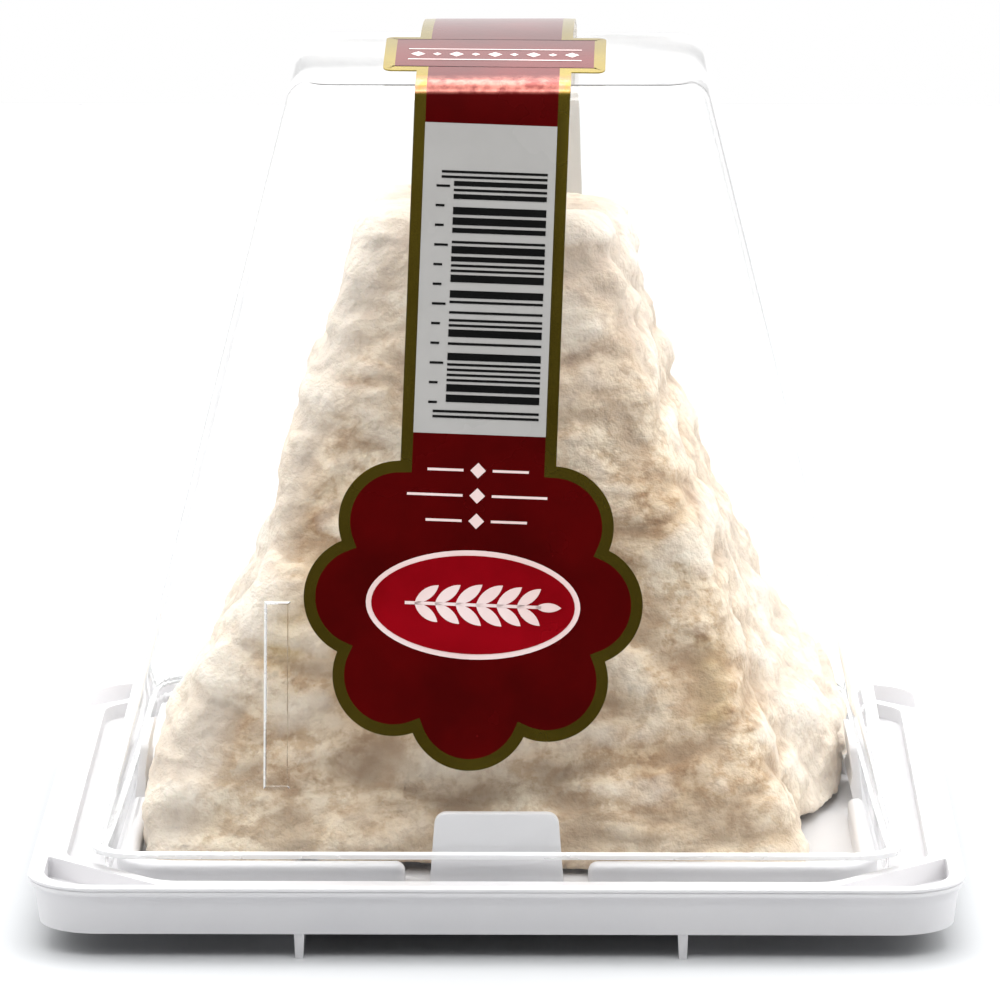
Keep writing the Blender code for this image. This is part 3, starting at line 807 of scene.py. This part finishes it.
def make_tray(material):
    tray = make_tray_blank()
    unite(tray, [make_rail(-1), make_rail(1)])
    unite(tray, [make_recess_cutter()], "DIFFERENCE")
    pocket, ridge, tab = make_pocket_cutter(), make_ridge(), make_tab()
    quarters = [math.pi / 2 * turn for turn in range(4)]
    unite(tray, [copy_turned(pocket, "pocket_copy", angle) for angle in quarters], "DIFFERENCE")
    unite(tray, [copy_turned(ridge, "ridge_copy", angle) for angle in quarters])
    unite(tray, [copy_turned(tab, "tab_copy", angle) for angle in quarters])
    for used in (pocket, ridge, tab):
        bpy.data.objects.remove(used)
    round_edges(tray, TRAY_EDGE_ROUND)
    smooth(tray)
    tray.data.materials.clear()
    tray.data.materials.append(material)
    return tray


# Hood


def taper(piece, share):
    """Draws in the top of a piece to a share of its width."""
    edit(piece, "VERT")
    top = max(v.co.z for v in piece.data.vertices)
    choose(piece, "verts", lambda v: v.co.z > top - 0.1 * MM)
    bpy.ops.transform.resize(value=(share, share, 1.0))
    done()


def raise_lug(hood):
    """A narrow raised lug low on the front wall, marked out by cuts and pushed outwards."""
    cuts = [((LUG_LEFT, 0, 0), (1, 0, 0)), ((LUG_RIGHT, 0, 0), (1, 0, 0))]
    cuts += [((0, 0, LUG_LOW), (0, 0, 1)), ((0, 0, LUG_HIGH), (0, 0, 1))]
    for place, normal in cuts:
        edit(hood, "FACE")
        choose(hood, "faces", lambda f: f.normal.y < -0.9)
        bpy.ops.mesh.bisect(plane_co=mm(*place), plane_no=normal, threshold=1e-6)
        done()

    def on_lug(face):
        centre = face.calc_center_median() / MM
        inside = LUG_LEFT < centre.x < LUG_RIGHT and LUG_LOW < centre.z < LUG_HIGH
        return inside and face.normal.y < -0.9

    edit(hood, "FACE")
    choose(hood, "faces", on_lug)
    bpy.ops.mesh.inset(thickness=LUG_DEPTH * MM)
    bpy.ops.transform.translate(value=mm(0.0, -LUG_DEPTH, LUG_DEPTH * 0.26))
    done()


def on_lug_slope(face):
    """True for the lug's left and upper slopes, which catch the light and so take the painted highlight.
    """
    centre = face.calc_center_median() / MM
    if centre.y > 0.0 or not LUG_LOW < centre.z < LUG_HIGH + 0.1:
        return False
    left = LUG_LEFT - 0.1 < centre.x < LUG_LEFT + LUG_DEPTH and face.normal.x < -0.3
    upper = LUG_LEFT < centre.x < LUG_RIGHT and centre.z > LUG_HIGH - LUG_DEPTH
    return left or (upper and abs(face.normal.z) > 0.6)


def pull_ring(hood, half, drop):
    """Draws the hood's open bottom ring out or in to a half width, after letting it down."""
    bpy.ops.mesh.extrude_edges_move(TRANSFORM_OT_translate={"value": (0.0, 0.0, -drop * MM)})
    bm = bmesh.from_edit_mesh(hood.data)
    now = max(v.co.x for v in bm.verts if v.select)
    share = half * MM / now
    bpy.ops.transform.resize(value=(share, share, 1.0))


def make_hood(clear, rim):
    """The clear hood; its lip and the lug's lit slopes take the whiter finish of a painted highlight."""
    base, top = HOOD_BASE_HALF, HOOD_TOP
    hood = add_block("hood_clear", (-base, -base, HOOD_BASE), (base, base, top))
    taper(hood, HOOD_TOP_HALF / HOOD_BASE_HALF)
    bevel_upright_edges(hood, HOOD_CORNER, 10)
    edit(hood, "EDGE")
    choose(hood, "edges", lambda e: middle(e).z > (top - 0.1) * MM)
    bpy.ops.mesh.bevel(offset=HOOD_EDGE_ROUND * MM * 0.8, segments=8, affect="EDGES")
    bpy.ops.mesh.select_mode(type="FACE")
    choose(hood, "faces", lambda f: f.normal.z < -0.9)
    bpy.ops.mesh.delete(type="FACE")
    done()
    raise_lug(hood)
    edit(hood, "EDGE")
    choose(hood, "edges", lambda e: e.is_boundary)
    lip_depth = LIP_FLARE + HOOD_LIP_DEPTH + LIP_TUCK
    pull_ring(hood, HOOD_LIP_HALF, LIP_FLARE)
    pull_ring(hood, HOOD_LIP_HALF, HOOD_LIP_DEPTH)
    pull_ring(hood, HOOD_BAND_HALF, LIP_TUCK)
    pull_ring(hood, HOOD_BAND_HALF, HOOD_BASE - lip_depth - HOOD_BOTTOM)
    bpy.ops.mesh.select_all(action="SELECT")
    bpy.ops.mesh.normals_make_consistent(inside=False)
    done()
    apply_modifier(hood, "SOLIDIFY", thickness=HOOD_WALL * MM, offset=-1.0, use_even_offset=True)
    smooth(hood, 30.0)
    hood.data.materials.append(clear)
    hood.data.materials.append(rim)
    edit(hood, "FACE")
    # The lip band and the lug's lit slopes take the whiter material as a painted highlight.
    lip_low, lip_high = (HOOD_BASE - lip_depth + 0.02) * MM, (HOOD_BASE + 0.02) * MM
    choose(hood, "faces", lambda f: lip_low < f.calc_center_median().z < lip_high or on_lug_slope(f))
    hood.active_material_index = 1
    bpy.ops.object.material_slot_assign()
    done()
    apply_modifier(hood, "WEIGHTED_NORMAL", keep_sharp=True)
    return hood


# Label


def bow_radius():
    """Radius of the label's bow over the hood, from where the front fold's bend ends."""
    return -bend_end()[0] / math.sin(BOW_ANGLE)


def wall_lean():
    return math.atan((HOOD_BASE_HALF - HOOD_TOP_HALF) / (HOOD_TOP - HOOD_BASE))


def fold_place():
    """Where the label's underside leaves the front wall, as (y, z) in millimetres."""
    lean = wall_lean()
    half = HOOD_BASE_HALF - (FOLD_HEIGHT - HOOD_BASE) * math.tan(lean)
    return -half - FOLD_CLEARANCE / math.cos(lean), FOLD_HEIGHT


def bend_end():
    """Where the front fold's bend ends and the bow begins."""
    y, z = fold_place()
    up = math.pi / 2 - wall_lean()
    across = FOLD_RADIUS * (math.sin(up) - math.sin(BOW_ANGLE))
    rise = FOLD_RADIUS * (math.cos(BOW_ANGLE) - math.cos(up))
    return y + across, z + rise


def label_creases():
    """Every crease as (distance along the label, angle it turns by)."""
    turn = math.pi / 2 - wall_lean() - BOW_ANGLE
    fold_length = FOLD_RADIUS * turn
    bow_length = 2 * BOW_ANGLE * bow_radius()
    creases = []
    along = 0.0
    fold = (fold_length, turn, FOLD_CREASES)
    for length, total, count in (fold, (bow_length, 2 * BOW_ANGLE, BOW_CREASES), fold):
        for step in range(count):
            creases.append((along + length * (step + 0.5) / count, total / count))
        along += length
    return creases, along


def make_blank(back_fold):
    """The label's shape, cut flat: a strap with a round end, short wings, and a rosette of discs."""
    half = STRAP_WIDTH / 2
    wing = WING_WIDTH / 2
    end = back_fold + BACK_LENGTH - half
    blank = add_block("label_sheet", (-half, -ROSETTE_DROP, 0.0), (half, end, PAPER))
    wings = add_block("wings", (-wing, WING_START, 0.0), (wing, WING_START + WING_LENGTH, PAPER))
    bevel_upright_edges(wings, WING_CORNER, 5)
    hub = ROSETTE_RADIUS - ROSETTE_LOBE
    shapes = [wings, add_disc("back_end", (0.0, end), half, 0.0, PAPER)]
    shapes.append(add_disc("rosette_middle", (0.0, -ROSETTE_DROP), hub, 0.0, PAPER))
    for lobe in range(1, ROSETTE_LOBES):
        aim = math.pi / 2 - 2 * math.pi * lobe / ROSETTE_LOBES
        centre = (hub * math.cos(aim), hub * math.sin(aim) - ROSETTE_DROP)
        shapes.append(add_disc("lobe", centre, ROSETTE_LOBE, 0.0, PAPER, 72))
    unite(blank, shapes)
    edit(blank, "FACE")
    bpy.ops.mesh.select_all(action="SELECT")
    bpy.ops.mesh.dissolve_limited(angle_limit=math.radians(1.0))
    done()
    return blank


def make_strap_sheet(inks, back_fold):
    """The label's own sheet, its border left around an inset field that is cut into its printed parts."""
    names = ["gold_border", "red_field", "pale_panel", "paper_back"]
    sheet = make_blank(back_fold)
    for name in names:
        sheet.data.materials.append(inks[name])
    edit(sheet, "FACE")
    choose(sheet, "faces", lambda f: f.normal.z > 0.9)
    bpy.ops.mesh.inset(thickness=BORDER * MM, use_even_offset=True)
    sheet.active_material_index = 1
    bpy.ops.object.material_slot_assign()
    bpy.ops.transform.translate(value=mm(0.0, 0.0, PRINT))

    def on_field(face):
        return face.normal.z > 0.9 and face.material_index == 1

    choose(sheet, "faces", on_field)
    for along in (PANEL_TOP, PANEL_BOTTOM):
        bpy.ops.mesh.bisect(plane_co=mm(0.0, along, 0.0), plane_no=(0, 1, 0), threshold=1e-6)
        choose(sheet, "faces", on_field)
    low, high = PANEL_BOTTOM * MM, PANEL_TOP * MM
    choose(sheet, "faces", lambda f: on_field(f) and low < f.calc_center_median().y < high)
    sheet.active_material_index = 2
    bpy.ops.object.material_slot_assign()
    choose(sheet, "faces", lambda f: f.normal.z < -0.9)
    sheet.active_material_index = 3
    bpy.ops.object.material_slot_assign()
    done()
    return sheet


def add_stripe(name, ink, left, low, right, high, layers=2):
    """A printed rectangle, its face a number of ink layers above the paper."""
    stripe = add_block(name, (left, low, PAPER), (right, high, PAPER + layers * PRINT))
    stripe.data.materials.append(ink)
    return stripe


def add_round(name, ink, centre, across, along, layers, corners=64):
    """A printed oval, or with four corners a diamond, of two half widths."""
    shape = add_disc(name, (0.0, 0.0), 1.0, PAPER, PAPER + layers * PRINT, corners)
    shape.scale = (across, along, 1.0)
    shape.location = mm(centre[0], centre[1], 0.0)
    settle(shape)
    shape.data.materials.append(ink)
    return shape


def make_bars(ink):
    """Generic stripes across the pale panel: widths drawn by a seeded rule, thin ones in close pairs."""
    rule = random.Random(41)
    module = BARS_LENGTH / BAR_MODULES
    guards = [(0, 1), (2, 1), (BAR_MODULES - 3, 1), (BAR_MODULES - 1, 1)]
    stripes = []
    used = 4
    while used < BAR_MODULES - 7:
        width = rule.choice((1, 1, 1, 2, 3, 3))
        stripes.append((used, width))
        used += width + rule.choice((1, 1, 1, 2, 3))
    bars = []
    for start, width in guards + stripes:
        high = BARS_TOP - start * module
        left = BARS_LEFT - GUARD_REACH * ((start, width) in guards)
        bars.append(add_stripe("bar", ink, left, high - width * module * 0.95, BARS_RIGHT, high))
    for step in range(TICKS):
        place = BARS_TOP - TICK_INSET - step * (BARS_LENGTH - 2 * TICK_INSET) / (TICKS - 1)
        right = TICK_LEFT + (1.4 if step % 3 == 0 else 0.9)
        bars.append(add_stripe("tick", ink, TICK_LEFT, place - LINE_HALF, right, place + LINE_HALF))
    return bars


def make_leaf(ink):
    """One pointed leaf from its root along +X, where two round plates overlap."""
    bend = (LEAF_LENGTH ** 2 + LEAF_WIDTH ** 2) / (4 * LEAF_WIDTH)
    off = bend - LEAF_WIDTH / 2
    top = PAPER + 4 * PRINT
    leaf = add_disc("leaf", (LEAF_LENGTH / 2, off), bend, PAPER, top, 96)
    other = add_disc("leaf_side", (LEAF_LENGTH / 2, -off), bend, PAPER, top, 96)
    unite(leaf, [other], "INTERSECT")
    leaf.data.materials.append(ink)
    return leaf


def place_leaf(leaf, root, angle, size):
    """A copy of the leaf with its own mesh, scaled and turned about its root."""
    twin = copy_turned(leaf, "leaf", angle)
    twin.data.transform(Matrix.Diagonal((size, size, 1.0, 1.0)))
    twin.location = mm(root[0], root[1], 0.0)
    settle(twin)
    return twin


def make_medallion(inks):
    """An oval badge with a light rim and a plain sprig of leaves in it."""
    light = inks["light_line"]
    middle_y = -ROSETTE_DROP - BADGE_DROP
    inner, along = BADGE_HALF_WIDTH - BADGE_RIM, BADGE_HALF_HEIGHT - BADGE_RIM
    pieces = [
        add_round("badge_rim", light, (0.0, middle_y), BADGE_HALF_WIDTH, BADGE_HALF_HEIGHT, 2),
        add_round("badge", inks["bright_red"], (0.0, middle_y), inner, along, 3),
        add_stripe("stem", light, -STEM_REACH, middle_y - STEM_HALF, STEM_REACH, middle_y + STEM_HALF, 4),
    ]
    leaf = make_leaf(light)
    for step in range(LEAF_PAIRS):
        root = (SPRIG_FOOT + step * LEAF_SPACING, middle_y)
        size = 1.0 - 0.05 * abs(step - (LEAF_PAIRS - 1) / 2)
        for side in (1, -1):
            pieces.append(place_leaf(leaf, root, side * LEAF_ANGLE, size))
    pieces.append(place_leaf(leaf, (SPRIG_TIP, middle_y), 0.0, 0.76))
    bpy.data.objects.remove(leaf)
    return pieces


def make_flourish(ink, along, reach):
    """A thin rule broken by a small diamond."""
    size = FLOURISH_DIAMOND
    pieces = [add_round("diamond", ink, (0.0, along), size, size, 2, 4)]
    for side in (-1, 1):
        near, far = sorted((side * (size + FLOURISH_GAP), side * reach))
        pieces.append(add_stripe("rule", ink, near, along - FLOURISH_HALF, far, along + FLOURISH_HALF))
    return pieces


def make_wing_ornament(ink):
    """A row of small diamonds between two rules across the wings."""
    centre = WING_START + WING_LENGTH * 0.42
    pieces = []
    reach = WING_RULE_REACH
    for line in (centre - WING_RULES_APART / 2, centre + WING_RULES_APART / 2):
        pieces.append(add_stripe("rule", ink, -reach, line - LINE_HALF, reach, line + LINE_HALF))
    for step in range(WING_DIAMONDS):
        size = 0.75 if step % 2 == 0 else 0.45
        place = ((step - (WING_DIAMONDS - 1) / 2) * WING_SPACING, centre)
        pieces.append(add_round("diamond", ink, place, size, size, 2, 4))
    return pieces


def cut_at_creases(label, creases):
    for along, _ in creases:
        edit(label, "FACE")
        bpy.ops.mesh.select_all(action="SELECT")
        bpy.ops.mesh.bisect(plane_co=mm(0.0, along, 0.0), plane_no=(0, 1, 0), threshold=1e-7)
        done()


def turn_selected(angle, centre):
    """Turns what is selected about a line along X, positive lifting the +Y side."""
    bpy.ops.transform.rotate(value=-angle, orient_axis="X", center_override=centre)


def fold_label(label, creases):
    """Folds the flat label down over the hood, from its far end to its front fold."""
    cut_at_creases(label, creases)
    flat = [v.co.y for v in label.data.vertices]
    for along, angle in reversed(creases):
        limit = along * MM + 1e-7
        edit(label, "VERT")
        choose(label, "verts", lambda v: flat[v.index] > limit)
        turn_selected(-angle, mm(0.0, along, 0.0))
        done()
    edit(label, "VERT")
    bpy.ops.mesh.select_all(action="SELECT")
    turn_selected(math.pi / 2 - wall_lean(), mm(0.0, 0.0, 0.0))
    y, z = fold_place()
    bpy.ops.transform.translate(value=mm(0.0, y, z))
    choose(label, "verts", lambda v: flat[v.index] > FOLD_RADIUS * MM)
    centre = mm(0.0, y + FOLD_RADIUS, 0.0)
    bpy.ops.transform.rotate(value=-TOP_TWIST, orient_axis="Z", center_override=centre)
    done()


def make_label(inks):
    creases, back_fold = label_creases()
    parts = [make_strap_sheet(inks, back_fold)]
    parts += make_bars(inks["black_ink"])
    parts += make_medallion(inks)
    for along, reach in FLOURISHES:
        parts += make_flourish(inks["light_line"], along, reach)
    parts += make_wing_ornament(inks["light_line"])
    deselect_all()
    for part in parts:
        part.select_set(True)
    bpy.context.view_layer.objects.active = parts[0]
    bpy.ops.object.join()
    label = name_piece("label_printed")
    label.rotation_euler.z = -LABEL_LEAN
    label.location.x = LABEL_SHIFT * MM
    settle(label)
    fold_label(label, creases)
    smooth(label, 24.0)
    return label


# Cheese


def make_texture(name, kind, size, **values):
    texture = bpy.data.textures.new(name, type=kind)
    texture.noise_scale = size * MM
    for key, value in values.items():
        setattr(texture, key, value)
    return texture


def displace(piece, texture, depth, level=0.5, stretch=1.0, lift=0.0):
    """Moves the surface in or out by a texture drawn out sideways; its guide is removed again."""
    deselect_all()
    bpy.ops.object.empty_add(location=mm(0.0, 0.0, lift))
    guide = bpy.context.object
    guide.scale = (stretch, stretch, 1.0)
    bpy.context.view_layer.update()
    apply_modifier(
        piece,
        "DISPLACE",
        texture=texture,
        strength=depth * MM,
        mid_level=level,
        texture_coords="OBJECT",
        texture_coords_object=guide,
    )
    bpy.data.objects.remove(guide)


def keep_relief(piece, before):
    """Stores how far each point was raised or sunk, in millimetres, which the material uses for painted
    shade in the creases and a painted highlight on the crests.
    """
    relief = piece.data.attributes.new("relief", "FLOAT", "POINT")
    for vertex, mark, (place, normal) in zip(piece.data.vertices, relief.data, before):
        mark.value = (vertex.co - place).dot(normal) / MM


def make_cheese(material):
    """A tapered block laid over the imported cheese's broad form, then wrinkled, lumped and pitted."""
    low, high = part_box("cheese")
    low, high = Vector(low) / MM, Vector(high) / MM
    cheese = add_block("cheese_rind", low, high)
    taper(cheese, CHEESE_TOP_SHARE)
    apply_modifier(cheese, "REMESH", mode="VOXEL", voxel_size=RIND_VOXEL * MM)
    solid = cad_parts["cheese"]
    wrap = {"wrap_method": "NEAREST_SURFACEPOINT", "wrap_mode": "ON_SURFACE"}
    apply_modifier(cheese, "SHRINKWRAP", target=solid, **wrap)
    apply_modifier(cheese, "REMESH", mode="VOXEL", voxel_size=RIND_VOXEL * MM)
    apply_modifier(cheese, "SMOOTH", factor=0.5, iterations=14)
    displace(cheese, make_texture("lumps", "CLOUDS", 8.0, noise_depth=1), 0.9, stretch=1.3)
    before = [(v.co.copy(), v.normal.copy()) for v in cheese.data.vertices]
    ridged = {"musgrave_type": "RIDGED_MULTIFRACTAL", "octaves": 2.0, "gain": 1.8}
    folds = make_texture("folds", "MUSGRAVE", 6.5, **ridged)
    displace(cheese, folds, -0.8, 0.6, stretch=2.2, lift=3.0)
    displace(cheese, make_texture("curd", "CLOUDS", 2.0, noise_depth=2), 0.8, stretch=1.5)
    pits = make_texture("pits", "VORONOI", 4.8, weight_1=1.0, noise_intensity=1.4)
    displace(cheese, pits, 0.5, 0.75, stretch=1.3, lift=1.0)
    keep_relief(cheese, before)
    smooth(cheese, 60.0)
    cheese.data.materials.append(material)
    return cheese


# Stage


def make_stage():
    deselect_all()
    bpy.ops.mesh.primitive_plane_add(size=FLOOR_SIZE * MM, location=(0.0, 0.0, 0.0))
    floor = name_piece("floor")
    material, _, _, shader = new_material("floor_white")
    shader.inputs["Base Color"].default_value = (0.55, 0.56, 0.57, 1.0)
    set_inputs(shader, Roughness=0.6, Specular_IOR_Level=0.2)
    floor.data.materials.append(material)


def add_softbox(name, place, size, watts):
    """A rectangular lamp aimed at the middle of the pack."""
    deselect_all()
    bpy.ops.object.light_add(type="AREA", location=mm(*place))
    lamp = bpy.context.object
    lamp.name = name
    lamp.data.shape = "RECTANGLE"
    lamp.data.size = size[0] * MM
    lamp.data.size_y = size[1] * MM
    lamp.data.energy = watts
    lamp.rotation_euler = (mm(*LAMP_AIM) - lamp.location).to_track_quat("-Z", "Y").to_euler()


def make_world():
    """White surroundings that turn dark behind the camera, so that the label's front stays deep."""
    world = bpy.data.worlds.new("white_room")
    bpy.context.scene.world = world
    world.use_nodes = True
    nodes, links = world.node_tree.nodes, world.node_tree.links
    place = nodes.new("ShaderNodeTexCoord")
    aim = split_place(nodes, links, place.outputs["Generated"])
    tone = map_range(nodes, links, aim["Y"], *DARK_ZONE, DARK_BEHIND_CAMERA, ROOM_TONE)
    sky = map_range(nodes, links, aim["Z"], *SKY_ZONE, 1.0, SKY_LIFT)
    room = math_node(nodes, links, "MULTIPLY", tone, sky)
    rays = nodes.new("ShaderNodeLightPath").outputs
    gleam = math_node(nodes, links, "MULTIPLY_ADD", rays["Is Glossy Ray"], GLOSS_LIFT, 1.0)
    mirrored = math_node(nodes, links, "MULTIPLY", room, gleam)
    direct = math_node(nodes, links, "ADD", rays["Is Camera Ray"], rays["Is Transmission Ray"], clamp=True)
    background = nodes["Background"]
    background.inputs["Color"].default_value = (1.0, 1.0, 1.0, 1.0)
    links.new(math_node(nodes, links, "MAXIMUM", direct, mirrored), background.inputs["Strength"])


def make_camera():
    distance = CAMERA_DISTANCE
    level = distance * math.cos(CAMERA_RISE)
    place = (
        level * math.sin(CAMERA_SWING),
        -level * math.cos(CAMERA_SWING),
        CAMERA_AIM_HEIGHT + distance * math.sin(CAMERA_RISE),
    )
    deselect_all()
    bpy.ops.object.camera_add(location=mm(*place))
    camera = bpy.context.object
    camera.rotation_euler = (math.pi / 2 - CAMERA_RISE, 0.0, CAMERA_SWING)
    camera.data.sensor_width = SENSOR_WIDTH
    camera.data.lens = SENSOR_WIDTH * distance / (MM_PER_PIXEL * IMAGE_WIDTH)
    bpy.context.scene.camera = camera


def light_pack():
    add_softbox("overhead", (0.0, 220.0, 680.0), (600.0, 500.0), 2.6)
    add_softbox("front_high", (60.0, -430.0, 640.0), (500.0, 150.0), 1.0)
    add_softbox("left_side", (-640.0, 80.0, 420.0), (400.0, 400.0), 0.9)
    add_softbox("right_side", (640.0, 60.0, 420.0), (400.0, 400.0), 1.6)
    bpy.context.scene.view_settings.view_transform = "Standard"


def put_on_pack(piece, node):
    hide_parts(node)
    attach(piece, "root")


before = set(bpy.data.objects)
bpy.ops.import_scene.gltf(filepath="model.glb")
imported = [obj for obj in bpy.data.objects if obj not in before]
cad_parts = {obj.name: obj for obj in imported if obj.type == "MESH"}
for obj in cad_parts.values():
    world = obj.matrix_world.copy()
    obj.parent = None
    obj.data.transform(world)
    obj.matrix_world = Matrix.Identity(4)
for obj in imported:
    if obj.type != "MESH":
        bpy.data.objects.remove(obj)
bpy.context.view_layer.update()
make_camera()
make_world()
light_pack()
make_stage()
fine = make_fine_surface()
put_on_pack(make_tray(make_tray_plastic(fine)), "tray")
put_on_pack(make_cheese(make_rind()), "cheese")
put_on_pack(make_label(make_label_materials((fine, make_fold_wear()))), "label")
put_on_pack(make_hood(make_clear_plastic(), make_hood_highlight()), "hood")
